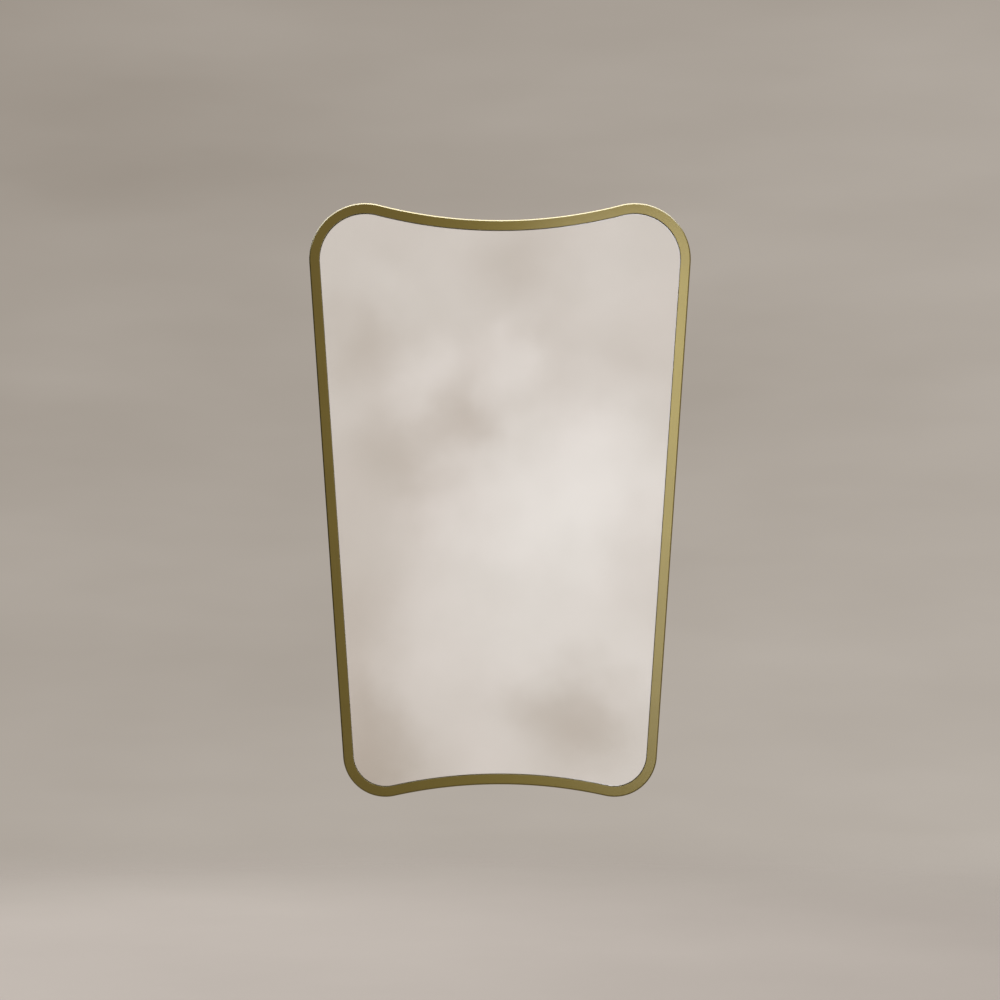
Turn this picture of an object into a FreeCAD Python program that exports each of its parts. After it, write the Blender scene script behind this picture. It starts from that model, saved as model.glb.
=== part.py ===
import FreeCAD, Part
import enum
import math
import os
import re
import Sketcher

# A wall mirror in a thin brass frame. Its outline tapers towards the foot, its four corners
# are round, and its head and foot dip in the middle.
# X runs to the right, the glass faces -Y and Z is up. The wall is the plane Y = 0, and the
# origin lies midway between the two screws of the rail that stays on the wall.

# Driving dimensions in millimetres
SIZES = {
    # Outline of the frame, seen from the front
    "overall_height": 700,
    "head_width": 450,
    "foot_width": 370,
    "head_radius": 66,
    "foot_radius": 50,
    "head_dip": 20,
    "foot_dip": 14.7,
    # Brass angle of the frame
    "lip_width": 12,
    "lip_thickness": 2,
    "frame_wall": 2,
    "front_break": 1.8,
    # Glass, and what lies in front of it and behind it
    "glazing_tape_width": 5,
    "glazing_tape_thickness": 1,
    "glazing_tape_setback": 2,
    "glass_thickness": 4,
    "glass_edge_gap": 2,
    "film_thickness": 0.2,
    "film_setback": 2,
    "bond_tape_thickness": 1,
    "bond_tape_width": 25,
    "bond_tape_length": 520,
    "bond_tape_pitch": 85,
    "board_thickness": 6,
    "board_edge_gap": 1.8,
    # Blocks and spacers between the edge of the glass and the frame
    "spacer_length": 30,
    "spacer_play": 0.05,
    "corner_spacer_turn": 22,
    "side_spacer_offset": 120,
    # Brass tabs that hold the board, and their screws
    "tab_width": 16,
    "tab_thickness": 1,
    "tab_foot_length": 17,
    "tab_leg_length": 5,
    "tab_corner_cut": 3,
    "tab_solder_gap": 0.15,
    "tab_hole_diameter": 3.4,
    "tab_hole_setback": 10,
    "head_tab_spacing": 150,
    "foot_tab_spacing": 150,
    "side_tab_spacing": 300,
    "tab_screw_diameter": 3,
    "tab_screw_head_diameter": 6,
    "tab_screw_head_height": 2,
    # Screws in the board: the wood left in front of a screw's tip, and the room round it
    "screw_skin": 1,
    "pilot_play": 0.1,
    # Hook rails: one on the wall, and the same section turned over on the board
    "rail_thickness": 3,
    "rail_plate_height": 20,
    "rail_lip_height": 9,
    "rail_play": 0.4,
    "rail_clearance": 0.6,
    "rail_seat_gap": 0.05,
    "wall_rail_length": 200,
    "wall_hole_spacing": 160,
    "wall_hole_diameter": 5,
    "wall_sink_diameter": 9,
    "mirror_rail_length": 260,
    "mirror_hole_pitch": 70,
    "mirror_hole_diameter": 4,
    "mirror_sink_diameter": 7.4,
    "rail_screw_diameter": 3.5,
    "rail_screw_head_diameter": 7,
    "rail_screw_recess": 0.1,
    # Rubber bumpers at the foot
    "bumper_diameter": 13,
    "bumper_spacing": 250,
    "bumper_rise": 62,
    # Place on the wall
    "hang_drop": 150,
    "wall_gap": 1,
}

RAIL_SCREWS = 4
BOND_TAPES = 4
SAME_PLACE = 1e-4


class PointOf(enum.IntEnum):
    """The points of a curve in a sketch."""

    START = 1
    END = 2
    CENTRE = 3


class AxisOf(enum.IntEnum):
    """A sketch's own axes. Its origin is the start of the first one."""

    ACROSS = -1
    UPRIGHT = -2


doc = FreeCAD.newDocument("wall_mirror")
sheet = doc.addObject("Spreadsheet::Sheet", "Sizes")
for row, (alias, value) in enumerate(SIZES.items(), start=1):
    sheet.set(f"A{row}", alias)
    sheet.set(f"B{row}", str(value))
    sheet.setAlias(f"B{row}", alias)
layout = doc.addObject("App::VarSet", "Layout")
worked_out = set()
pieces = []
doc.recompute()


def full_names(formula):
    """A formula with each value's name led by the object that holds it."""

    def with_owner(match):
        word = match.group(0)
        if word in SIZES:
            return f"Sizes.{word}"
        if word in worked_out:
            return f"Layout.{word}"
        return word

    return re.sub(r"[a-z][a-z0-9_]*", with_owner, formula)


def number(formula):
    """The present value of a formula."""
    return float(layout.evalExpression(full_names(formula)))


def work_out(name, formula, kind="App::PropertyFloat"):
    """Adds a named formula to the layout."""
    layout.addProperty(kind, name)
    layout.setExpression(name, full_names(formula))
    worked_out.add(name)
    layout.recompute()


def work_out_angle(name, formula):
    """Adds a named formula that gives an angle."""
    work_out(name, formula, "App::PropertyAngle")


# Outline, measured from the middle of the mirror
work_out("head_centre_x", "head_width / 2 - head_radius")
work_out("head_centre_z", "overall_height / 2 - head_radius")
work_out("foot_centre_x", "foot_width / 2 - foot_radius")
work_out("foot_centre_z", "foot_radius - overall_height / 2")
work_out("head_bend_radius", "(head_centre_x ^ 2 / head_dip + head_dip) / 2 - head_radius")
work_out("foot_bend_radius", "(foot_centre_x ^ 2 / foot_dip + foot_dip) / 2 - foot_radius")
work_out("head_bend_z", "overall_height / 2 - head_dip + head_bend_radius")
work_out("foot_bend_z", "foot_dip - overall_height / 2 - foot_bend_radius")
work_out("corner_spread", "head_centre_x - foot_centre_x")
work_out("corner_rise", "head_centre_z - foot_centre_z")
work_out("corner_span", "sqrt(corner_spread ^ 2 + corner_rise ^ 2)")
work_out_angle(
    "side_lean",
    "atan(corner_spread / corner_rise) + asin((head_radius - foot_radius) / corner_span)",
)
work_out("middle_z", "hang_drop - overall_height / 2")

# Insets from the outline
work_out("glass_inset", "frame_wall + glass_edge_gap")
work_out("film_inset", "glass_inset + film_setback")
work_out("board_inset", "frame_wall + board_edge_gap")
work_out("tape_inner_inset", "lip_width - glazing_tape_setback")
work_out("tape_outer_inset", "tape_inner_inset - glazing_tape_width")

# Depths of the rear faces, from the wall to the front
work_out("rail_pack", "2 * (rail_thickness + rail_clearance) + rail_play")
work_out("board_rear", "-rail_pack")
work_out("bond_rear", "board_rear - board_thickness")
work_out("film_rear", "bond_rear - bond_tape_thickness")
work_out("glass_rear", "film_rear - film_thickness")
work_out("tape_rear", "glass_rear - glass_thickness")
work_out("lip_rear", "tape_rear - glazing_tape_thickness")
work_out("frame_depth", "lip_thickness - lip_rear - wall_gap")

# Hook rails: the lips interlock, and their slanted ends seat on the slanted webs
work_out("rail_lip_gap", "rail_thickness + rail_clearance + rail_play")
work_out("rail_web_front", "rail_plate_height / 2")
work_out("rail_web_rear", "rail_web_front + rail_thickness * tan(22.5 deg)")
work_out("rail_tip", "rail_web_front + rail_lip_gap + rail_lip_height")
work_out("mirror_rail_z", "rail_tip + rail_web_rear + rail_clearance + rail_seat_gap * sqrt(2)")

# Inner face of the frame's wall, at the middle of a straight side
work_out("side_wall_radius", "(head_radius + foot_radius) / 2 - frame_wall")
work_out("side_middle_x", "(head_centre_x + foot_centre_x) / 2 + side_wall_radius * cos(side_lean)")
work_out("side_middle_z", "(head_centre_z + foot_centre_z) / 2 - side_wall_radius * sin(side_lean)")


def side_station(name, sign, along):
    """A place on the wall's inner face beside the glass, that far up from the side's middle."""
    work_out(f"{name}_x", f"{sign} * (side_middle_x + ({along}) * sin(side_lean))")
    work_out(f"{name}_z", f"side_middle_z + ({along}) * cos(side_lean)")
    work_out_angle(f"{name}_turn", f"{sign} * (90 deg + side_lean)")


def head_station(name, sign, across):
    """A place on the wall's inner face over the glass, that far from the middle."""
    work_out_angle(f"{name}_swing", f"asin(({across}) / (head_bend_radius + frame_wall))")
    work_out(f"{name}_x", f"{sign} * ({across})")
    work_out(f"{name}_z", f"head_bend_z - (head_bend_radius + frame_wall) * cos({name}_swing)")
    work_out_angle(f"{name}_turn", f"{-sign} * {name}_swing")


def foot_station(name, sign, across):
    """A place on the wall's inner face under the glass, that far from the middle."""
    work_out_angle(f"{name}_swing", f"asin(({across}) / (foot_bend_radius + frame_wall))")
    work_out(f"{name}_x", f"{sign} * ({across})")
    work_out(f"{name}_z", f"foot_bend_z + (foot_bend_radius + frame_wall) * cos({name}_swing)")
    work_out_angle(f"{name}_turn", f"180 deg + {sign} * {name}_swing")


def add_body(label):
    """Adds an empty body."""
    body = doc.addObject("PartDesign::Body", label)
    body.Label = label
    return body


def add_sketch(body, name, role):
    """Adds a sketch on one of the body's own origin planes."""
    plane = next(item for item in body.Origin.OriginFeatures if item.Role == role)
    sketch = body.newObject("Sketcher::SketchObject", f"{body.Label}_{name}")
    sketch.AttachmentSupport = [(plane, "")]
    sketch.MapMode = "FlatFace"
    return sketch


def tie(sketch, kind, *where):
    """Ties curves and points of a sketch to each other, and gives the tie's number."""
    return sketch.addConstraint(Sketcher.Constraint(kind, *where))


def dimension(sketch, formula, kind, *where):
    """Adds a dimension to a sketch, bound to a formula."""
    index = tie(sketch, kind, *where, number(formula))
    sketch.setExpression(f"Constraints[{index}]", full_names(formula))


def fix_point(sketch, geometry, end, across, up):
    """Fixes a point of a sketch at two formulas, measured from the sketch's origin."""
    if across == "0":
        tie(sketch, "PointOnObject", geometry, end, AxisOf.UPRIGHT)
    else:
        dimension(sketch, across, "DistanceX", AxisOf.ACROSS, PointOf.START, geometry, end)
    if up == "0":
        tie(sketch, "PointOnObject", geometry, end, AxisOf.ACROSS)
    else:
        dimension(sketch, up, "DistanceY", AxisOf.ACROSS, PointOf.START, geometry, end)


def draw_polygon(sketch, corners):
    """Draws a closed polygon whose corners are pairs of formulas."""
    points = [FreeCAD.Vector(number(across), number(up), 0) for across, up in corners]
    for start, end in zip(points, points[1:] + points[:1]):
        sketch.addGeometry(Part.LineSegment(start, end))
    for index in range(len(points)):
        following = (index + 1) % len(points)
        tie(sketch, "Coincident", index, PointOf.END, following, PointOf.START)
    for index, (across, up) in enumerate(corners):
        fix_point(sketch, index, PointOf.START, across, up)


def circle_about(x, y, radius):
    """A circle in a sketch's plane."""
    return Part.Circle(FreeCAD.Vector(x, y, 0), FreeCAD.Vector(0, 0, 1), radius)


def draw_circle(sketch, across, up, diameter):
    """Draws a circle."""
    index = sketch.addGeometry(circle_about(number(across), number(up), number(diameter) / 2))
    fix_point(sketch, index, PointOf.CENTRE, across, up)
    dimension(sketch, diameter, "Diameter", index)


def draw_outline(sketch, inset):
    """Draws the mirror's outline, moved inwards by a formula: six arcs and two sides, all tangent."""
    lean = math.radians(number("side_lean"))
    head_x, head_z = number("head_centre_x"), number("head_centre_z")
    foot_x, foot_z = number("foot_centre_x"), number("foot_centre_z")
    head_radius, head_bend = number(f"head_radius - ({inset})"), number(f"head_bend_radius + ({inset})")
    foot_radius, foot_bend = number(f"foot_radius - ({inset})"), number(f"foot_bend_radius + ({inset})")
    head_swing = math.asin(head_x / (head_bend + head_radius))
    foot_swing = math.asin(foot_x / (foot_bend + foot_radius))
    up, left, down = math.pi / 2, math.pi, -math.pi / 2

    def arc(x, z, radius, start, end):
        return Part.ArcOfCircle(circle_about(x, z, radius), start, end)

    def side(sign):
        reach, drop = math.cos(lean), math.sin(lean)
        foot = FreeCAD.Vector(sign * (foot_x + foot_radius * reach), foot_z - foot_radius * drop, 0)
        head = FreeCAD.Vector(sign * (head_x + head_radius * reach), head_z - head_radius * drop, 0)
        return Part.LineSegment(foot, head)

    top = sketch.addGeometry(arc(0, number("head_bend_z"), head_bend, down - head_swing, down + head_swing))
    top_right = sketch.addGeometry(arc(head_x, head_z, head_radius, -lean, up + head_swing))
    right = sketch.addGeometry(side(1))
    low_right = sketch.addGeometry(arc(foot_x, foot_z, foot_radius, down - foot_swing, -lean))
    low = sketch.addGeometry(arc(0, number("foot_bend_z"), foot_bend, up - foot_swing, up + foot_swing))
    low_left = sketch.addGeometry(arc(-foot_x, foot_z, foot_radius, left + lean, left + up + foot_swing))
    left_side = sketch.addGeometry(side(-1))
    top_left = sketch.addGeometry(arc(-head_x, head_z, head_radius, up - head_swing, left + lean))

    for one, one_end, other, other_end in (
        (top, PointOf.END, top_right, PointOf.END),
        (top_right, PointOf.START, right, PointOf.END),
        (right, PointOf.START, low_right, PointOf.END),
        (low_right, PointOf.START, low, PointOf.START),
        (low, PointOf.END, low_left, PointOf.END),
        (low_left, PointOf.START, left_side, PointOf.START),
        (left_side, PointOf.END, top_left, PointOf.END),
        (top_left, PointOf.START, top, PointOf.START),
    ):
        tie(sketch, "Tangent", one, one_end, other, other_end)
    for one, other in ((top_right, top_left), (low_right, low_left)):
        tie(sketch, "Symmetric", one, PointOf.CENTRE, other, PointOf.CENTRE, AxisOf.UPRIGHT)
        tie(sketch, "Equal", one, other)
    fix_point(sketch, top_right, PointOf.CENTRE, "head_centre_x", "head_centre_z")
    fix_point(sketch, low_right, PointOf.CENTRE, "foot_centre_x", "foot_centre_z")
    dimension(sketch, f"head_radius - ({inset})", "Radius", top_right)
    dimension(sketch, f"foot_radius - ({inset})", "Radius", low_right)
    dimension(sketch, f"head_bend_radius + ({inset})", "Radius", top)
    dimension(sketch, f"foot_bend_radius + ({inset})", "Radius", low)


def pad(body, sketch, length, both_ways=False):
    """Pads a sketch by a formula, along its normal or half each way."""
    feature = body.newObject("PartDesign::Pad", "pad")
    feature.Profile = sketch
    feature.SideType = "Symmetric" if both_ways else "One side"
    feature.setExpression("Length", full_names(length))
    doc.recompute()


def pocket(body, sketch, depth=None, along_normal=True):
    """Cuts a sketch into the body, by a formula or right through."""
    before = body.Shape.Volume
    feature = body.newObject("PartDesign::Pocket", "pocket")
    feature.Profile = sketch
    feature.Reversed = along_normal
    if depth is None:
        feature.Type = "ThroughAll"
    else:
        feature.setExpression("Length", full_names(depth))
    doc.recompute()
    if body.Shape.Volume >= before:
        raise RuntimeError(f"A pocket cuts nothing from {body.Label}")


def revolve(body, sketch):
    """Revolves a sketch about its upright axis."""
    feature = body.newObject("PartDesign::Revolution", "revolution")
    feature.Profile = sketch
    feature.ReferenceAxis = (sketch, ["V_Axis"])
    feature.Angle = 360
    doc.recompute()


def edges_at(body, **places):
    """The edges whose ends all lie at the given formulas, one for each axis named."""
    levels = {axis: number(formula) for axis, formula in places.items()}

    def lies_there(vertex):
        return all(abs(getattr(vertex, axis) - level) < SAME_PLACE for axis, level in levels.items())

    edges = body.Tip.Shape.Edges
    return [f"Edge{n}" for n, edge in enumerate(edges, start=1) if all(map(lies_there, edge.Vertexes))]


def outer_rim(body, depth):
    """The edges round the outside of the flat face at a depth."""
    level = number(depth)
    shape = body.Tip.Shape

    def lies_flat(face):
        box = face.BoundBox
        return max(abs(box.YMin - level), abs(box.YMax - level)) < SAME_PLACE

    rim = next(face for face in shape.Faces if lies_flat(face)).OuterWire.Edges
    found = [any(edge.isSame(other) for other in rim) for edge in shape.Edges]
    return [f"Edge{n}" for n, on_rim in enumerate(found, start=1) if on_rim]


def fillet(body, radius, edges):
    """Rounds edges of the body's last feature by a formula."""
    feature = body.newObject("PartDesign::Fillet", "fillet")
    feature.Base = (feature.BaseFeature, edges)
    feature.setExpression("Radius", full_names(radius))
    doc.recompute()


def chamfer(body, size, edges):
    """Chamfers edges of the body's last feature by a formula."""
    feature = body.newObject("PartDesign::Chamfer", "chamfer")
    feature.Base = (feature.BaseFeature, edges)
    feature.setExpression("Size", full_names(size))
    doc.recompute()


def place(piece, depth, across="0", up="middle_z", turn="0 deg", axis="0; 1; 0"):
    """Places a piece by formulas, turned about an axis through its own origin."""
    formula = f"placement(vector({across}; {depth}; {up}); rotation(vector({axis}); {turn}))"
    piece.setExpression("Placement", full_names(formula))
    doc.recompute()


def keep(piece):
    """Keeps a finished piece as a sub-part of its own."""
    pieces.append(piece)


def outline_body(label, insets, thickness):
    """A flat body inside one outline, or between two."""
    body = add_body(label)
    sketch = add_sketch(body, "outline", "XZ_Plane")
    for inset in insets:
        draw_outline(sketch, inset)
    pad(body, sketch, thickness)
    return body


def make_frame():
    """The brass frame: a side wall all round and a narrow lip in front of the glass."""
    frame = outline_body("frame", ["0"], "frame_depth")
    cavity = add_sketch(frame, "cavity", "XZ_Plane")
    draw_outline(cavity, "frame_wall")
    pocket(frame, cavity, "frame_depth - lip_thickness")
    sight = add_sketch(frame, "sight", "XZ_Plane")
    draw_outline(sight, "lip_width")
    pocket(frame, sight)
    chamfer(frame, "front_break", outer_rim(frame, "-frame_depth"))
    place(frame, "-wall_gap")
    keep(frame)


def make_glazing():
    """The glass with its safety film, and the foam tape between the glass and the lip."""
    tape = outline_body("glazing_tape", ["tape_outer_inset", "tape_inner_inset"], "glazing_tape_thickness")
    place(tape, "tape_rear")
    keep(tape)
    glass = outline_body("mirror_glass", ["glass_inset"], "glass_thickness")
    place(glass, "glass_rear")
    keep(glass)
    film = outline_body("backing_film", ["film_inset"], "film_thickness")
    place(film, "film_rear")
    keep(film)
    for index in range(BOND_TAPES):
        strip = doc.addObject("Part::Box", f"bond_tape_{index + 1}")
        strip.setExpression("Length", full_names("bond_tape_width"))
        strip.setExpression("Width", full_names("bond_tape_thickness"))
        strip.setExpression("Height", full_names("bond_tape_length"))
        across = f"({index} - {BOND_TAPES - 1} / 2) * bond_tape_pitch - bond_tape_width / 2"
        place(strip, "film_rear", across, "middle_z - bond_tape_length / 2")
        keep(strip)


def make_corner_spacer(label, radius, across, up, turn):
    """A curved block between the glass and the frame, on the arc of a round corner."""
    outer = f"{radius} - frame_wall - spacer_play"
    inner = f"{radius} - glass_inset + spacer_play"
    half = number("spacer_length") / 2
    body = add_body(label)
    sketch = add_sketch(body, "outline", "XZ_Plane")
    arcs = []
    for formula in (outer, inner):
        swing = math.asin(half / number(formula))
        circle = circle_about(0, 0, number(formula))
        arcs.append(sketch.addGeometry(Part.ArcOfCircle(circle, math.pi / 2 - swing, math.pi / 2 + swing)))
        tie(sketch, "Coincident", arcs[-1], PointOf.CENTRE, AxisOf.ACROSS, PointOf.START)
        dimension(sketch, formula, "Radius", arcs[-1])
    for end, tip, sign in ((PointOf.START, "StartPoint", 1), (PointOf.END, "EndPoint", -1)):
        line = sketch.addGeometry(Part.LineSegment(*(getattr(sketch.Geometry[arc], tip) for arc in arcs)))
        tie(sketch, "Coincident", line, PointOf.START, arcs[0], end)
        tie(sketch, "Coincident", line, PointOf.END, arcs[1], end)
        tie(sketch, "Vertical", line)
        across_end = f"{sign} * spacer_length / 2"
        dimension(sketch, across_end, "DistanceX", AxisOf.ACROSS, PointOf.START, line, PointOf.START)
    pad(body, sketch, "glass_thickness")
    place(body, "glass_rear", across, f"middle_z + {up}", turn)
    keep(body)


def make_side_spacer(label, sign, along):
    """A straight block between the glass and the frame, beside the glass."""
    side_station(label, sign, along)
    body = add_body(label)
    sketch = add_sketch(body, "outline", "XZ_Plane")
    near, far = "-spacer_play", "spacer_play - glass_edge_gap"
    right, left = "spacer_length / 2", "-spacer_length / 2"
    draw_polygon(sketch, [(left, near), (left, far), (right, far), (right, near)])
    pad(body, sketch, "glass_thickness")
    place(body, "glass_rear", f"{label}_x", f"middle_z + {label}_z", f"{label}_turn")
    keep(body)


def make_spacers():
    """Two blocks that carry the glass, and the spacers that centre it."""
    for side, sign in (("left", -1), ("right", 1)):
        head, foot = f"{sign} * head_centre_x", f"{sign} * foot_centre_x"
        outwards = f"{sign} * corner_spacer_turn * 1 deg"
        make_corner_spacer(f"edge_spacer_head_{side}", "head_radius", head, "head_centre_z", outwards)
        downwards = f"180 deg - {outwards}"
        make_corner_spacer(f"setting_block_{side}", "foot_radius", foot, "foot_centre_z", downwards)
        make_side_spacer(f"edge_spacer_{side}_upper", sign, "side_spacer_offset")
        make_side_spacer(f"edge_spacer_{side}_lower", sign, "-side_spacer_offset")


def make_tab(label):
    """A brass tab: a leg soldered to the frame's wall, and a foot folded over the board."""
    body = add_body(label)
    profile = add_sketch(body, "profile", "YZ_Plane")
    leg_outside = "-tab_solder_gap"
    leg_inside = "-(tab_solder_gap + tab_thickness)"
    foot_end = "-(tab_solder_gap + tab_foot_length)"
    draw_polygon(
        profile,
        [
            ("-tab_leg_length", leg_outside),
            ("tab_thickness", leg_outside),
            ("tab_thickness", foot_end),
            ("0", foot_end),
            ("0", leg_inside),
            ("-tab_leg_length", leg_inside),
        ],
    )
    pad(body, profile, "tab_width", both_ways=True)
    fillet(body, "tab_thickness", edges_at(body, Y="tab_thickness", Z=leg_outside))
    corners = edges_at(body, X="tab_width / 2", Z=foot_end) + edges_at(body, X="-tab_width / 2", Z=foot_end)
    chamfer(body, "tab_corner_cut", corners)
    hole = add_sketch(body, "hole", "XZ_Plane")
    draw_circle(hole, "0", "-tab_hole_setback", "tab_hole_diameter")
    pocket(body, hole, along_normal=False)
    place(body, "board_rear", f"{label}_x", f"middle_z + {label}_z", f"{label}_turn")
    work_out(f"{label}_screw_x", f"{label}_x - tab_hole_setback * sin({label}_turn)")
    work_out(f"{label}_screw_z", f"{label}_z - tab_hole_setback * cos({label}_turn)")
    keep(body)
    return label


def make_tabs():
    """Two tabs at the head, two at the foot and two on each side."""
    tabs = []
    for side, sign in (("left", -1), ("right", 1)):
        for edge, station in (("head", head_station), ("foot", foot_station)):
            label = f"retaining_tab_{edge}_{side}"
            station(label, sign, f"{edge}_tab_spacing / 2")
            tabs.append(make_tab(label))
        for level, along in (("upper", "side_tab_spacing / 2"), ("lower", "-side_tab_spacing / 2")):
            label = f"retaining_tab_{side}_{level}"
            side_station(label, sign, along)
            tabs.append(make_tab(label))
    return tabs


def make_screw_group(label, screw, places, depth):
    """Copies of one screw at several places, kept as one sub-part."""
    copies = []
    for number_on, (across, up) in enumerate(places, start=1):
        copy = doc.addObject("App::Link", f"{label}_{number_on}")
        copy.LinkedObject = screw
        place(copy, depth, across, up)
        copies.append(copy)
    group = doc.addObject("Part::Compound", label)
    group.Links = copies
    doc.recompute()
    keep(group)


def make_tab_screws(tabs):
    """A small pan-head screw through each tab, its head on the tab."""
    work_out("tab_screw_reach", "tab_thickness + board_thickness - screw_skin")
    screw = add_body("tab_screw")
    profile = add_sketch(screw, "profile", "XY_Plane")
    draw_polygon(
        profile,
        [
            ("0", "-tab_screw_reach"),
            ("tab_screw_diameter / 2", "-tab_screw_reach"),
            ("tab_screw_diameter / 2", "0"),
            ("tab_screw_head_diameter / 2", "0"),
            ("tab_screw_head_diameter / 2", "tab_screw_head_height"),
            ("0", "tab_screw_head_height"),
        ],
    )
    revolve(screw, profile)
    places = [(f"{tab}_screw_x", f"middle_z + {tab}_screw_z") for tab in tabs]
    make_screw_group("tab_screws", screw, places, "board_rear + tab_thickness")


def rail_screw_places():
    """Where the screws of the mirror's rail lie across it."""
    return [f"({index} - {RAIL_SCREWS - 1} / 2) * mirror_hole_pitch" for index in range(RAIL_SCREWS)]


def make_rail_screws():
    """Countersunk screws, flush with the mirror's rail."""
    work_out("rail_screw_reach", "rail_thickness + board_thickness - screw_skin - rail_screw_recess")
    work_out("rail_screw_sink", "(rail_screw_head_diameter - rail_screw_diameter) / 2")
    screw = add_body("rail_screw")
    profile = add_sketch(screw, "profile", "XY_Plane")
    draw_polygon(
        profile,
        [
            ("0", "-rail_screw_reach"),
            ("rail_screw_diameter / 2", "-rail_screw_reach"),
            ("rail_screw_diameter / 2", "-rail_screw_sink"),
            ("rail_screw_head_diameter / 2", "0"),
            ("0", "0"),
        ],
    )
    revolve(screw, profile)
    places = [(across, "mirror_rail_z") for across in rail_screw_places()]
    make_screw_group("rail_screws", screw, places, "board_rear + rail_thickness - rail_screw_recess")


def make_board(tabs):
    """The backing board, with pilot holes for the screws of the tabs and of the rail."""
    board = outline_body("backing_board", ["board_inset"], "board_thickness")
    pilots = add_sketch(board, "pilots", "XZ_Plane")
    for tab in tabs:
        draw_circle(pilots, f"{tab}_screw_x", f"{tab}_screw_z", "tab_screw_diameter + pilot_play")
    for across in rail_screw_places():
        draw_circle(pilots, across, "mirror_rail_z - middle_z", "rail_screw_diameter + pilot_play")
    pocket(board, pilots, "board_thickness - screw_skin + pilot_play")
    place(board, "board_rear")
    keep(board)


def make_rail(label, length, hole_places, hole_diameter, sink_diameter):
    """A hook rail: a plate, a web that slants out from it and a lip parallel to the plate."""
    rail = add_body(label)
    section = add_sketch(rail, "section", "YZ_Plane")
    lip_front = "-(rail_lip_gap + rail_thickness)"
    draw_polygon(
        section,
        [
            ("0", "-rail_plate_height / 2"),
            ("-rail_thickness", "-rail_plate_height / 2"),
            ("-rail_thickness", "rail_web_front"),
            (lip_front, "rail_web_front + rail_lip_gap"),
            (lip_front, "rail_tip"),
            ("-rail_lip_gap", "rail_tip - rail_thickness"),
            ("-rail_lip_gap", "rail_web_rear + rail_lip_gap"),
            ("0", "rail_web_rear"),
        ],
    )
    pad(rail, section, length, both_ways=True)
    holes = add_sketch(rail, "holes", "XZ_Plane")
    for across in hole_places:
        draw_circle(holes, across, "0", hole_diameter)
    pocket(rail, holes)
    rims = edges_at(rail, Y="-rail_thickness", Z="0")
    chamfer(rail, f"({sink_diameter} - {hole_diameter}) / 2", rims)
    keep(rail)
    return rail


def make_rails():
    """The rail on the wall, and the mirror's rail hooked over it."""
    wall_holes = ["-wall_hole_spacing / 2", "wall_hole_spacing / 2"]
    wall = make_rail("wall_rail", "wall_rail_length", wall_holes, "wall_hole_diameter", "wall_sink_diameter")
    place(wall, "0", up="0")
    holes = rail_screw_places()
    mirror = make_rail(
        "mirror_rail", "mirror_rail_length", holes, "mirror_hole_diameter", "mirror_sink_diameter"
    )
    place(mirror, "board_rear", up="mirror_rail_z", turn="180 deg", axis="1; 0; 0")


def make_bumpers():
    """Rubber bumpers on the board, as thick as the two rails hold it from the wall."""
    for side, sign in (("left", -1), ("right", 1)):
        bumper = add_body(f"bumper_{side}")
        foot = add_sketch(bumper, "foot", "XZ_Plane")
        draw_circle(foot, "0", "0", "bumper_diameter")
        pad(bumper, foot, "rail_pack")
        up = "middle_z - overall_height / 2 + bumper_rise"
        place(bumper, "0", f"{sign} * bumper_spacing / 2", up)
        keep(bumper)


def write_pieces():
    """Writes every sub-part, once the whole document is sound."""
    doc.recompute()
    failed = [item.Label for item in doc.Objects if {"Invalid", "Error"} & set(item.State)]
    unsound = [piece.Label for piece in pieces if piece.Shape.isNull() or not piece.Shape.isValid()]
    if failed or unsound:
        raise RuntimeError(f"Failed: {failed}, not sound: {unsound}")
    os.makedirs("parts", exist_ok=True)
    for piece in pieces:
        piece.Shape.exportStep(f"parts/{piece.Label}.step")


make_frame()
make_glazing()
make_spacers()
tab_labels = make_tabs()
make_tab_screws(tab_labels)
make_board(tab_labels)
make_rails()
make_rail_screws()
make_bumpers()
write_pieces()
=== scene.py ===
import math

import bmesh
import bpy
from mathutils import Matrix, Vector


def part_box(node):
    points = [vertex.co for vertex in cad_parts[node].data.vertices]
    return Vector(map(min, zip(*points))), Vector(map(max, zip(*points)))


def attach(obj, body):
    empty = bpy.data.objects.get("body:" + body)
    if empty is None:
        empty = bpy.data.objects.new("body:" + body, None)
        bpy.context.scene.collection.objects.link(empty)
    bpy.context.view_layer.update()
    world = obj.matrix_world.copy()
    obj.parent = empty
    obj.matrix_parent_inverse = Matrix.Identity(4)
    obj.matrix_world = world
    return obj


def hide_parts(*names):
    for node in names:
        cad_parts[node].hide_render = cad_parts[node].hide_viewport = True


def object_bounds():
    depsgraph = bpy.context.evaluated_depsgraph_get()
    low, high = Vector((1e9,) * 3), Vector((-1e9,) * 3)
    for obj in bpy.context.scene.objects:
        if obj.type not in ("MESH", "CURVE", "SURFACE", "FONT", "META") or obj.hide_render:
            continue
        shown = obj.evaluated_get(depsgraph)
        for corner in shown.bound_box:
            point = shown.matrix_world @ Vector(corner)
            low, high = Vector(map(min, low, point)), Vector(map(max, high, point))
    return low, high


# A wall mirror in a thin satin brass frame. The glass faces -Y, the wall is the plane Y = 0 and Z is up.
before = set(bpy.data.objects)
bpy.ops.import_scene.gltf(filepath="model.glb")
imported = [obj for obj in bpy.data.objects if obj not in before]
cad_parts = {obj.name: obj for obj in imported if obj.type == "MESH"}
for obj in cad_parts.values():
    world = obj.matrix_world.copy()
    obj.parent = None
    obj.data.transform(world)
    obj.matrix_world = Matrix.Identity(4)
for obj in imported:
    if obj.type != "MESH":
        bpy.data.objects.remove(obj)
cad_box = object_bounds()

MM = 0.001

# Outline of the frame, seen from the front
HEAD_WIDTH = 450 * MM
FOOT_WIDTH = 370 * MM
HEAD_RADIUS = 66 * MM
FOOT_RADIUS = 50 * MM
HEAD_DIP = 20 * MM
FOOT_DIP = 14.7 * MM

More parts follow.
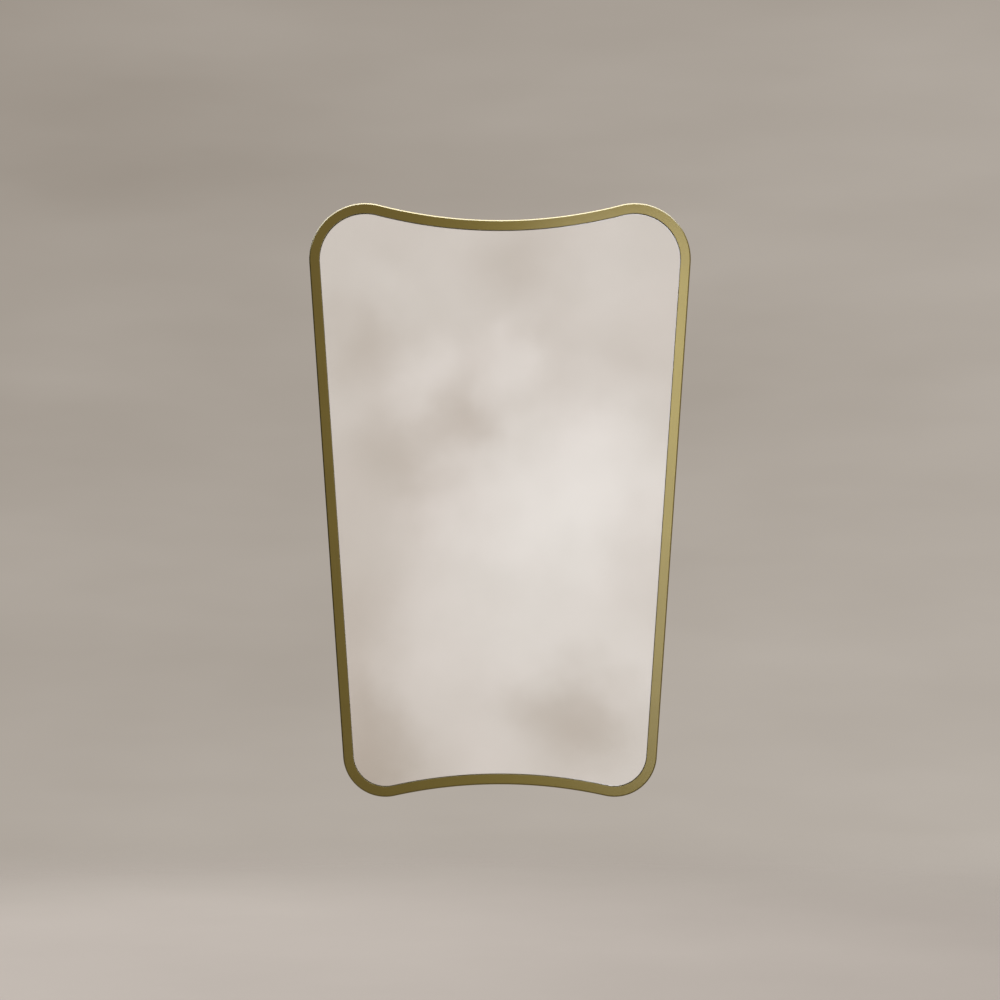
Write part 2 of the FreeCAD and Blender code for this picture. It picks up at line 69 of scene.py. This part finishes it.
# Brass angle of the frame. Its front edge break is a little finer than the solid's
LIP_WIDTH = 12 * MM
LIP_THICKNESS = 2 * MM
WALL_THICKNESS = 2 * MM
FRONT_CHAMFER = 1.4 * MM
FRONT_ROUND = 0.25 * MM
REAR_ROUND = 0.3 * MM
SIGHT_ROUND = 0.35 * MM
LIP_REAR_ROUND = 0.2 * MM

# Glass
GLASS_ARRIS = 0.4 * MM
GLASS_CLEAR = 0.02 * MM

# Screws: pairs of radius and place along the screw, from the tip to the rim of the flat top
PAN_HEAD_SCREW = (
    (0, -6.0 * MM),
    (1.3 * MM, -6.0 * MM),
    (1.5 * MM, -5.8 * MM),
    (1.5 * MM, 0),
    (3.0 * MM, 0),
    (3.0 * MM, 0.7 * MM),
    (2.85 * MM, 1.2 * MM),
    (2.5 * MM, 1.65 * MM),
    (2.05 * MM, 1.92 * MM),
    (1.75 * MM, 2.0 * MM),
)
COUNTERSUNK_SCREW = (
    (0, -7.9 * MM),
    (1.5 * MM, -7.9 * MM),
    (1.75 * MM, -7.6 * MM),
    (1.75 * MM, -1.75 * MM),
    (3.4 * MM, -0.12 * MM),
    (3.4 * MM, -0.06 * MM),
    (3.34 * MM, 0),
)

# Their cross recess: reach and half width of its wings, depth, and how much it narrows
PAN_HEAD_WING = 1.5 * MM
COUNTERSUNK_WING = 1.8 * MM
WING_HALF_WIDTH = 0.42 * MM
RECESS_DEPTH = 1.1 * MM
RECESS_TAPER = 0.55
# Turn from one screw to the next, in radians
SCREW_TURN = 0.7

# The photograph is square on, and takes in a square of this width at the frame's front
PICTURE_WIDTH = 1178.45 * MM
CAMERA_DISTANCE = 3.2
SENSOR_WIDTH = 36.0

FLOOR_DROP = 0.82
FLOOR_SOLID_RADIUS = 2.0
FLOOR_RADIUS = 3.6

# Soft clouds in front of the mirror, for its glass to reflect: place across and up, half width and half
# height, each as a share of the distance, and how much lighter they are, or darker where below zero
CLOUDS = (
    (0.010, 0.085, 0.032, 0.029, -0.18),
    (0.041, 0.079, 0.019, 0.036, 0.06),
    (-0.055, 0.057, 0.025, 0.029, -0.19),
    (-0.028, 0.041, 0.020, 0.020, 0.14),
    (0.002, 0.054, 0.021, 0.021, 0.20),
    (-0.010, 0.033, 0.020, 0.021, -0.24),
    (-0.034, 0.014, 0.031, 0.030, -0.20),
    (0.030, 0.008, 0.064, 0.049, 0.40),
    (0.015, -0.033, 0.067, 0.057, 0.22),
    (0.050, -0.061, 0.020, 0.029, 0.12),
    (-0.057, -0.052, 0.036, 0.100, -0.20),
    (0.026, -0.079, 0.033, 0.032, -0.34),
    (-0.046, -0.076, 0.022, 0.022, -0.15),
    (-0.048, -0.105, 0.038, 0.033, -0.30),
    (-0.045, 0.076, 0.022, 0.022, 0.09),
)
# How strongly a drift pushes them out of round
CLOUD_PUSH = 0.045

# Painted light on the limewash backdrop: which way, and how fast, it gets lighter
BACKDROP_LIGHT_SLOPE = (1.15, 0, -1.3)


def linear(code):
    """An sRGB hex colour as a linear one."""
    shares = [int(code[place:place + 2], 16) / 255 for place in (0, 2, 4)]
    return [s / 12.92 if s <= 0.04045 else ((s + 0.055) / 1.055) ** 2.4 for s in shares] + [1.0]


def add_node(tree, kind, inputs=(), **settings):
    """Adds a node with its settings, and sets its inputs or links them to other nodes' outputs."""
    node = tree.nodes.new(kind)
    for name, value in settings.items():
        setattr(node, name, value)
    for key, value in dict(inputs).items():
        if isinstance(value, bpy.types.NodeSocket):
            tree.links.new(value, node.inputs[key])
        else:
            node.inputs[key].default_value = value
    return node


def finish(name, tones, grain, rough, relief, stretch=(1, 1, 1), broad=70 * MM, coords="Object", **sockets):
    """A material whose tone, roughness and relief follow a fine grain, over a broad change of tone.

    tones and rough are the lower and upper ends. grain, relief and broad are real sizes, and stretch says
    how many times longer the grain is along each axis. sockets sets what is the same all over.
    """
    material = bpy.data.materials.new(name)
    material.use_nodes = True
    tree = material.node_tree
    tree.nodes.clear()
    place = add_node(tree, "ShaderNodeTexCoord").outputs[coords]
    scale = [1 / (grain * longer) for longer in stretch]
    laid = add_node(tree, "ShaderNodeMapping", {"Vector": place, "Scale": scale})
    fine = add_node(tree, "ShaderNodeTexNoise", {"Vector": laid.outputs[0], "Scale": 1.0, "Detail": 3.0})
    wide = add_node(tree, "ShaderNodeTexNoise", {"Vector": place, "Scale": 1 / broad, "Detail": 3.0})
    both = add_node(tree, "ShaderNodeMath", {0: fine.outputs[0], 1: wide.outputs[0]}, operation="ADD")
    ends = {"From Min": 0.7, "From Max": 1.3}
    share = add_node(tree, "ShaderNodeMapRange", {"Value": both.outputs[0], **ends})
    colours = {0: share.outputs[0], 6: linear(tones[0]), 7: linear(tones[1])}
    colour = add_node(tree, "ShaderNodeMix", colours, data_type="RGBA")
    ends = {"From Min": 0.3, "From Max": 0.7, "To Min": rough[0], "To Max": rough[1]}
    dull = add_node(tree, "ShaderNodeMapRange", {"Value": fine.outputs[0], **ends})
    bump = add_node(tree, "ShaderNodeBump", {"Height": fine.outputs[0], "Distance": relief, "Strength": 1.0})
    inputs = {"Base Color": colour.outputs[2], "Roughness": dull.outputs[0], "Normal": bump.outputs[0]}
    shader = add_node(tree, "ShaderNodeBsdfPrincipled", {**inputs, **sockets})
    add_node(tree, "ShaderNodeOutputMaterial", {"Surface": shader.outputs[0]})
    return material


# Satin brass, brushed along its length and lacquered: olive gold with a soft sheen. The brush marks are
# 0.2 mm wide, and are drawn 0.9 mm wide so that they show.
satin_brass = finish(
    "satin_brass", ("6C5E20", "726424"), 0.9 * MM, (0.44, 0.50), 0.002 * MM, stretch=(60, 1, 1),
    coords="UV", Metallic=1.0, **{"Coat Weight": 0.6, "Coat Roughness": 0.3},
)
# Rolled brass strip, left as it came: warmer and shinier than the frame, with fine rolling marks
rolled_brass = finish(
    "rolled_brass", ("A08A4C", "B39C5C"), 0.8 * MM, (0.28, 0.42), 0.006 * MM, stretch=(1, 1, 9), Metallic=1.0
)
# Float glass, polished by the way it is made: clear, with the faint green of its iron
float_glass = finish(
    "float_glass", ("F9FCFA", "FBFDFC"), 120 * MM, (0.0, 0.004), 0.0, broad=300 * MM,
    **{"Transmission Weight": 1.0, "IOR": 1.52},
)
# Silver laid on the back of the glass: a bright, sharp mirror
silver_backing = finish(
    "silver_backing", ("F2F2F0", "F6F6F4"), 120 * MM, (0.0, 0.01), 0.0, broad=300 * MM, Metallic=1.0
)
# Closed-cell foam tape: black, matt and finely pitted
foam_tape = finish("foam_tape", ("141414", "242322"), 0.8 * MM, (0.85, 0.98), 0.15 * MM)
# Vinyl safety film: a flat blue grey with a slight orange peel
vinyl_film = finish("vinyl_film", ("66717A", "75808A"), 2.5 * MM, (0.45, 0.6), 0.02 * MM)
# Medium-density fibreboard, bare: an even tan, matt and flecked with short fibres about 0.6 mm wide, which
# are drawn 1.1 mm wide so that they show
fibreboard = finish(
    "fibreboard", ("92775A", "A58A6B"), 1.1 * MM, (0.75, 0.9), 0.01 * MM, stretch=(2, 1, 1), broad=600 * MM
)
# Extruded aluminium, natural anodised: pale grey, with die lines along the rail
anodised_aluminium = finish(
    "anodised_aluminium", ("A9ABAC", "BFC1C2"), 0.8 * MM, (0.32, 0.46), 0.008 * MM, stretch=(250, 1, 1),
    Metallic=1.0,
)
# Zinc-plated steel: cool grey and fairly bright, with faint cloudy patches
zinc_steel = finish("zinc_steel", ("9C9E9C", "C2C4C4"), 1.5 * MM, (0.24, 0.4), 0.01 * MM, Metallic=1.0)
# Neoprene: near black, matt
neoprene = finish("neoprene", ("161616", "262626"), 1.0 * MM, (0.7, 0.9), 0.05 * MM)
# Moulded rubber: dark grey with a soft sheen and a fine moulded grain
moulded_rubber = finish("moulded_rubber", ("1E1E1F", "303031"), 0.7 * MM, (0.5, 0.68), 0.04 * MM)


def add_piece(name, shape, *materials, smooth_below=35):
    """Makes an object from a bmesh, with smooth faces apart from edges sharper than the angle."""
    mesh = bpy.data.meshes.new(name)
    bmesh.ops.remove_doubles(shape, verts=shape.verts, dist=1e-7)
    bmesh.ops.recalc_face_normals(shape, faces=shape.faces)
    shape.to_mesh(mesh)
    shape.free()
    mesh.shade_smooth()
    mesh.set_sharp_from_angle(angle=math.radians(smooth_below))
    for material in materials:
        mesh.materials.append(material)
    piece = bpy.data.objects.new(name, mesh)
    bpy.context.scene.collection.objects.link(piece)
    return piece


def walk_outline(shape, rim):
    """Sweeps a rim at X = 0 along the outline, from the head's middle round +X to the foot's middle.

    The arcs keep their centres, so a rim that starts further in stays parallel to the outline. Gives how far
    along the outline each ring of the sweep lies.
    """
    low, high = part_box("frame")
    head_x, head_z = HEAD_WIDTH / 2 - HEAD_RADIUS, high.z - HEAD_RADIUS
    foot_x, foot_z = FOOT_WIDTH / 2 - FOOT_RADIUS, low.z + FOOT_RADIUS
    head_bend = (head_x ** 2 / HEAD_DIP + HEAD_DIP) / 2 - HEAD_RADIUS
    foot_bend = (foot_x ** 2 / FOOT_DIP + FOOT_DIP) / 2 - FOOT_RADIUS
    head_swing = math.asin(head_x / (head_bend + HEAD_RADIUS))
    foot_swing = math.asin(foot_x / (foot_bend + FOOT_RADIUS))
    across, rise = head_x - foot_x, head_z - foot_z
    narrower = HEAD_RADIUS - FOOT_RADIUS
    lean = math.atan(across / rise) + math.asin(narrower / math.hypot(across, rise))
    head_turn = math.pi / 2 + lean + head_swing
    foot_turn = math.pi / 2 - lean + foot_swing
    side = (-across - narrower * math.cos(lean), -rise + narrower * math.sin(lean))
    # Length, steps, centre, turn about it, and straight move
    legs = (
        (head_bend * head_swing, 24, (0, high.z - HEAD_DIP + head_bend), -head_swing, (0, 0)),
        (HEAD_RADIUS * head_turn, 64, (head_x, head_z), head_turn, (0, 0)),
        (math.hypot(*side), 12, (0, 0), 0, side),
        (FOOT_RADIUS * foot_turn, 52, (foot_x, foot_z), foot_turn, (0, 0)),
        (foot_bend * foot_swing, 24, (0, low.z + FOOT_DIP - foot_bend), -foot_swing, (0, 0)),
    )
    runs = [0.0]
    for length, steps, centre, turn, move in legs:
        made = bmesh.ops.spin(
            shape, geom=rim, cent=(centre[0], 0, centre[1]), axis=(0, 1, 0), angle=turn,
            dvec=(move[0] / steps, 0, move[1] / steps), steps=steps,
        )
        rim = made["geom_last"]
        start = runs[-1]
        runs.extend(start + length * step / steps for step in range(1, steps + 1))
    return runs


def mirror_across(shape):
    """Adds the -X half of a shape."""
    whole = shape.verts[:] + shape.edges[:] + shape.faces[:]
    bmesh.ops.mirror(shape, geom=whole, matrix=Matrix.Identity(4), merge_dist=1e-6, axis="X")


def make_frame():
    """The brass frame: an L section with a chamfered front edge, swept round the outline."""
    low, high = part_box("frame")
    front, rear = low.y, high.y
    lip_rear = front + LIP_THICKNESS
    # Distance in from the outline, depth, and how far the corner is rounded off
    section = (
        (WALL_THICKNESS, lip_rear, 0),
        (WALL_THICKNESS, rear, REAR_ROUND),
        (0, rear, REAR_ROUND),
        (0, front + FRONT_CHAMFER, FRONT_ROUND),
        (FRONT_CHAMFER, front, FRONT_ROUND),
        (LIP_WIDTH, front, SIGHT_ROUND),
        (LIP_WIDTH, lip_rear, LIP_REAR_ROUND),
    )
    ring = bmesh.new()
    around = ring.verts.layers.float.new("around")
    grain = ring.loops.layers.uv.new("grain")
    corners = [ring.verts.new((0, depth, high.z - HEAD_DIP - inset)) for inset, depth, _ in section]
    ring.faces.new(corners)
    for corner, (_, _, size) in zip(corners, section):
        if size:
            bmesh.ops.bevel(
                ring, geom=[corner], offset=size, segments=4, profile=0.5, affect="VERTICES", material=-1
            )
    walked = 0.0
    loops = list(ring.faces[:][0].loops)
    first = next(place for place, loop in enumerate(loops) if loop.vert == corners[0])
    for loop in loops[first:] + loops[:first]:
        loop.vert[around] = walked
        walked += loop.edge.calc_length()
    bmesh.ops.delete(ring, geom=ring.faces[:], context="FACES_ONLY")
    count = len(ring.verts)
    runs = walk_outline(ring, ring.verts[:] + ring.edges[:])
    run_of = {vert: runs[place // count] for place, vert in enumerate(ring.verts)}
    for face in ring.faces:
        for loop in face.loops:
            loop[grain].uv = (run_of[loop.vert], loop.vert[around])
    mirror_across(ring)
    piece = add_piece("brass_frame", ring, satin_brass)
    piece.modifiers.new("flat faces shade flat", "WEIGHTED_NORMAL").keep_sharp = True
    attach(piece, "mirror")
    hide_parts("frame")
    return piece


def make_glass():
    """The glass: a clear plate with ground edges, silvered behind, a hair clear of the tape and film."""
    low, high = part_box("mirror_glass")
    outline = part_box("frame")[1]
    inset = outline.x - high.x
    plate = bmesh.new()
    start = plate.verts.new((0, low.y + GLASS_CLEAR, outline.z - HEAD_DIP - inset))
    walk_outline(plate, [start])
    mirror_across(plate)
    sheet = bmesh.ops.contextual_create(plate, geom=plate.edges[:])["faces"]
    made = bmesh.ops.extrude_face_region(plate, geom=sheet)["geom"]
    moved = [item for item in made if isinstance(item, bmesh.types.BMVert)]
    bmesh.ops.translate(plate, verts=moved, vec=(0, high.y - low.y - 2 * GLASS_CLEAR, 0))
    broad = [face for face in plate.faces if len(face.verts) > 4]
    rims = [edge for face in broad for edge in face.edges]
    bmesh.ops.bevel(
        plate, geom=rims, offset=GLASS_ARRIS, segments=2, profile=0.5, affect="EDGES", material=-1
    )
    broad = [face for face in plate.faces if len(face.verts) > 4]
    max(broad, key=lambda face: face.calc_center_median().y).material_index = 1
    piece = add_piece("mirror_plate", plate, float_glass, silver_backing, smooth_below=10)
    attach(piece, "mirror")
    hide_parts("mirror_glass")


def solid_boxes(node):
    """The lowest and highest corners of each separate solid of a node."""
    solids = bmesh.new()
    solids.from_mesh(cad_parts[node].data)
    bmesh.ops.remove_doubles(solids, verts=solids.verts, dist=1e-6)
    left = set(solids.verts)
    boxes = []
    while left:
        reached = {left.pop()}
        edge_of_it = set(reached)
        while edge_of_it:
            near = {edge.other_vert(vert) for vert in edge_of_it for edge in vert.link_edges}
            edge_of_it = near - reached
            reached |= near
        left -= reached
        places = [vert.co for vert in reached]
        low = Vector([min(place[axis] for place in places) for axis in range(3)])
        high = Vector([max(place[axis] for place in places) for axis in range(3)])
        boxes.append((low, high))
    solids.free()
    return sorted(boxes, key=lambda box: tuple(box[0]))


def lathe(profile, steps=40):
    """A bmesh turned about the Y axis from pairs of radius and place along it."""
    turned = bmesh.new()
    points = [turned.verts.new((radius, along, 0)) for radius, along in profile]
    edges = [turned.edges.new(pair) for pair in zip(points, points[1:])]
    bmesh.ops.spin(
        turned, geom=points + edges, cent=(0, 0, 0), axis=(0, 1, 0), angle=math.tau, steps=steps,
        use_merge=True,
    )
    bmesh.ops.remove_doubles(turned, verts=turned.verts, dist=1e-6)
    return turned


def cut_cross(screw, top, wing):
    """Sinks a cross recess into the open flat top of a turned screw."""
    rim = [edge for edge in screw.edges if edge.is_boundary]
    corners = []
    for quarter in range(4):
        turn = Matrix.Rotation(quarter * math.pi / 2, 3, "Y")
        for x, z in (
            (WING_HALF_WIDTH, wing), (WING_HALF_WIDTH, WING_HALF_WIDTH), (wing, WING_HALF_WIDTH)
        ):
            corners.append(screw.verts.new(turn @ Vector((x, top, z))))
    cross = screw.faces.new(corners)
    sunk = bmesh.ops.extrude_discrete_faces(screw, faces=[cross])["faces"][0]
    bmesh.ops.translate(screw, verts=sunk.verts, vec=(0, -RECESS_DEPTH, 0))
    bmesh.ops.scale(screw, verts=sunk.verts, vec=(RECESS_TAPER, 1, RECESS_TAPER))
    rim += [edge for edge in screw.edges if edge.is_boundary and edge not in rim]
    bmesh.ops.triangle_fill(screw, edges=rim, use_beauty=True)


def make_screws(name, node, profile, wing):
    """Screws with a cross recess, one at each solid of the node, each stopped at its own turn."""
    top = profile[-1][1]
    one = lathe(profile)
    cut_cross(one, top, wing)
    pattern = bpy.data.meshes.new(name)
    one.to_mesh(pattern)
    one.free()
    group = bmesh.new()
    for place, (low, high) in enumerate(solid_boxes(node)):
        known = set(group.verts)
        group.from_mesh(pattern)
        added = [vert for vert in group.verts if vert not in known]
        turn = Matrix.Rotation(place * SCREW_TURN, 3, "Y")
        bmesh.ops.rotate(group, verts=added, cent=(0, 0, 0), matrix=turn)
        spot = ((low.x + high.x) / 2, high.y - top, (low.z + high.z) / 2)
        bmesh.ops.translate(group, verts=added, vec=spot)
    bpy.data.meshes.remove(pattern)
    piece = add_piece(name, group, zinc_steel)
    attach(piece, "mirror")
    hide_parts(node)


def make_bumper(side):
    """A moulded bumper: a foot, a slight taper and a rounded tip."""
    node = f"bumper_{side}"
    low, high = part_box(node)
    radius = (high.x - low.x) / 2
    length = high.y - low.y
    bumper = lathe(
        (
            (0, 0),
            (radius - 0.3 * MM, 0),
            (radius, 0.3 * MM),
            (radius, 1.5 * MM),
            (radius - 0.3 * MM, 1.9 * MM),
            (radius - 1.0 * MM, length - 1.6 * MM),
            (radius - 1.3 * MM, length - 0.8 * MM),
            (radius - 1.9 * MM, length - 0.25 * MM),
            (radius - 2.8 * MM, length),
            (0, length),
        ),
        steps=56,
    )
    bmesh.ops.translate(bumper, verts=bumper.verts, vec=((low.x + high.x) / 2, low.y, (low.z + high.z) / 2))
    piece = add_piece(f"rubber_bumper_{side}", bumper, moulded_rubber)
    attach(piece, "mirror")
    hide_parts(node)


def dress_nodes():
    """Gives the pieces that keep their solid shape their finishes."""
    finish_of = {
        "glazing_tape": foam_tape,
        "bond_tape": foam_tape,
        "backing_film": vinyl_film,
        "backing_board": fibreboard,
        "edge_spacer": neoprene,
        "setting_block": neoprene,
        "retaining_tab": rolled_brass,
        "mirror_rail": anodised_aluminium,
        "wall_rail": anodised_aluminium,
    }
    for name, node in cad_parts.items():
        for start, material in finish_of.items():
            if name.startswith(start):
                node.data.materials.clear()
                node.data.materials.append(material)


def make_floor(level):
    """A pale floor that fades out round its edge."""
    disc = bmesh.new()
    bmesh.ops.create_circle(disc, cap_ends=True, radius=FLOOR_RADIUS, segments=96)
    bmesh.ops.translate(disc, verts=disc.verts, vec=(0, 0, level))
    material = bpy.data.materials.new("limewashed_floor")
    material.use_nodes = True
    tree = material.node_tree
    tree.nodes.clear()
    place = add_node(tree, "ShaderNodeTexCoord").outputs["Object"]
    flat = add_node(tree, "ShaderNodeVectorMath", {0: place, 1: (1, 1, 0)}, operation="MULTIPLY")
    away = add_node(tree, "ShaderNodeVectorMath", {0: flat.outputs[0]}, operation="LENGTH")
    ends = {"From Min": FLOOR_SOLID_RADIUS, "From Max": FLOOR_RADIUS, "To Min": 1.0, "To Max": 0.0}
    cover = add_node(
        tree, "ShaderNodeMapRange", {"Value": away.outputs["Value"], **ends}, interpolation_type="SMOOTHSTEP"
    )
    wash = add_node(tree, "ShaderNodeTexNoise", {"Vector": place, "Scale": 1.6, "Detail": 5.0})
    colours = {0: wash.outputs[0], 6: linear("B4ADA7"), 7: linear("C4BDB7")}
    colour = add_node(tree, "ShaderNodeMix", colours, data_type="RGBA")
    inputs = {"Base Color": colour.outputs[2], "Alpha": cover.outputs[0], "Roughness": 0.9}
    shader = add_node(tree, "ShaderNodeBsdfPrincipled", inputs)
    add_node(tree, "ShaderNodeOutputMaterial", {"Surface": shader.outputs[0]})
    add_piece("floor", disc, material)


def make_surroundings():
    """A beige limewash to look at, clouds for shiny surfaces to reflect, and an even light on the rest."""
    world = bpy.data.worlds.new("studio")
    bpy.context.scene.world = world
    world.use_nodes = True
    tree = world.node_tree
    tree.nodes.clear()
    ray = add_node(tree, "ShaderNodeLightPath")
    way = add_node(tree, "ShaderNodeTexCoord").outputs["Generated"]
    parts = add_node(tree, "ShaderNodeSeparateXYZ", {"Vector": way})

    # Limewash, brushed sideways, with painted light: a little lighter towards the floor and +X
    brushed = add_node(tree, "ShaderNodeMapping", {"Vector": way, "Scale": (4, 4, 16)})
    wash = add_node(tree, "ShaderNodeTexNoise", {"Vector": brushed.outputs[0], "Scale": 1.0, "Detail": 4.0})
    # Painted light: the backdrop brightens along this slope
    fall = add_node(tree, "ShaderNodeVectorMath", {0: way, 1: BACKDROP_LIGHT_SLOPE}, operation="DOT_PRODUCT")
    tone = add_node(tree, "ShaderNodeMath", {0: wash.outputs[0], 1: fall.outputs["Value"]}, operation="ADD")
    colours = {0: tone.outputs[0], 6: linear("9C9389"), 7: linear("BCB4AB")}
    seen = add_node(tree, "ShaderNodeMix", colours, data_type="RGBA")

    # Clouds: a faint drift all round, and the soft ones in front, pushed out of round by a second drift
    drift = add_node(tree, "ShaderNodeTexNoise", {"Vector": way, "Scale": 9.0, "Detail": 5.0})
    ends = {"From Min": 0.3, "From Max": 0.7, "To Min": 0.43, "To Max": 0.67}
    bright = add_node(tree, "ShaderNodeMapRange", {"Value": drift.outputs[0], **ends})
    gust = add_node(tree, "ShaderNodeTexNoise", {"Vector": way, "Scale": 24.0, "Detail": 4.0})
    swirl = add_node(
        tree, "ShaderNodeVectorMath", {0: gust.outputs[1], 1: (0.5, 0.5, 0.5)}, operation="SUBTRACT"
    )
    pushed = add_node(
        tree, "ShaderNodeVectorMath", {0: swirl.outputs[0], 1: [CLOUD_PUSH] * 3, 2: way},
        operation="MULTIPLY_ADD",
    )
    total = bright.outputs[0]
    for x, z, wide, tall, lift in CLOUDS:
        laid = {"Location": (-x / wide, 0, -z / tall), "Scale": (1 / wide, 0, 1 / tall)}
        local = add_node(tree, "ShaderNodeMapping", {"Vector": pushed.outputs[0], **laid})
        away = add_node(tree, "ShaderNodeVectorMath", {0: local.outputs[0]}, operation="LENGTH")
        ends = {"Value": away.outputs["Value"], "To Min": lift, "To Max": 0.0}
        soft = add_node(tree, "ShaderNodeMapRange", ends, interpolation_type="SMOOTHSTEP")
        total = add_node(tree, "ShaderNodeMath", {0: total, 1: soft.outputs[0]}, operation="ADD").outputs[0]
    colours = {0: total, 6: linear("B6A79B"), 7: linear("F7EEEB")}
    clouds = add_node(tree, "ShaderNodeMix", colours, data_type="RGBA")
    # The -X end of the room is in shade
    ends = {"From Min": -0.9, "From Max": -0.45, "To Min": 0.04, "To Max": 1.0}
    shade = add_node(
        tree, "ShaderNodeMapRange", {"Value": parts.outputs["X"], **ends}, interpolation_type="SMOOTHSTEP"
    )
    mirrored = add_node(
        tree, "ShaderNodeVectorMath", {0: clouds.outputs[2], "Scale": shade.outputs[0]}, operation="SCALE"
    )

    shiny = add_node(
        tree, "ShaderNodeMath", {0: ray.outputs["Is Glossy Ray"], 1: ray.outputs["Is Transmission Ray"]},
        operation="MAXIMUM",
    )
    colours = {0: shiny.outputs[0], 6: linear("C8C4BF"), 7: mirrored.outputs[0]}
    lit = add_node(tree, "ShaderNodeMix", colours, data_type="RGBA")
    colours = {0: ray.outputs["Is Camera Ray"], 6: lit.outputs[2], 7: seen.outputs[2]}
    shown = add_node(tree, "ShaderNodeMix", colours, data_type="RGBA")
    ground = add_node(tree, "ShaderNodeBackground", {"Color": shown.outputs[2], "Strength": 1.0})
    add_node(tree, "ShaderNodeOutputWorld", {"Surface": ground.outputs[0]})


def add_softbox(name, place, target, size, power, tint="FFFFFF", only=None):
    """A rectangular lamp that faces the target. It lights everything, or only the one piece."""
    light = bpy.data.lights.new(name, "AREA")
    light.shape = "RECTANGLE"
    light.size, light.size_y = size
    light.energy = power
    light.color = linear(tint)[:3]
    lamp = bpy.data.objects.new(name, light)
    lamp.location = place
    lamp.rotation_euler = (Vector(target) - Vector(place)).to_track_quat("-Z", "Y").to_euler()
    lamp.visible_camera = False
    bpy.context.scene.collection.objects.link(lamp)
    if only:
        lit = bpy.data.collections.new(f"{name}_lights")
        lit.objects.link(only)
        lamp.light_linking.receiver_collection = lit


def add_camera(middle):
    """The photograph's view: level, and square on to the middle of the frame."""
    camera = bpy.data.objects.new("camera", bpy.data.cameras.new("camera"))
    camera.data.sensor_width = SENSOR_WIDTH
    camera.data.lens = SENSOR_WIDTH * CAMERA_DISTANCE / PICTURE_WIDTH
    camera.location = (middle.x, cad_box[0].y - CAMERA_DISTANCE, middle.z)
    camera.rotation_euler = (math.pi / 2, 0, 0)
    bpy.context.scene.collection.objects.link(camera)
    bpy.context.scene.camera = camera


middle = (cad_box[0] + cad_box[1]) / 2
brass = make_frame()
make_glass()
make_screws("tab_screws_pan_head", "tab_screws", PAN_HEAD_SCREW, PAN_HEAD_WING)
make_screws("rail_screws_countersunk", "rail_screws", COUNTERSUNK_SCREW, COUNTERSUNK_WING)
for side in ("left", "right"):
    make_bumper(side)
dress_nodes()
make_floor(middle.z - FLOOR_DROP)
make_surroundings()
# Cool daylight for the brass, kept off the floor and out of the glass
add_softbox("softbox_right", (0.26, -0.61, -0.22), (0.12, 0, -0.63), (0.29, 0.98), 5.3, "CAD0EA", brass)
add_softbox("softbox_above", (-0.32, 0, 0.62), (-0.32, 0, 0), (2.24, 0.24), 28, "BCC8FF", brass)
# Plain light for the back and the floor
add_softbox("softbox_behind", (-1.2, 2.8, 1.2), (0, 0.5, middle.z - 0.2), (1.6, 1.6), 26)
add_softbox("softbox_overhead", (0, 0.6, 1.8), (0, 0.6, 0), (1.5, 1.0), 20)
add_camera(middle)

bpy.context.scene.view_settings.view_transform = "Standard"
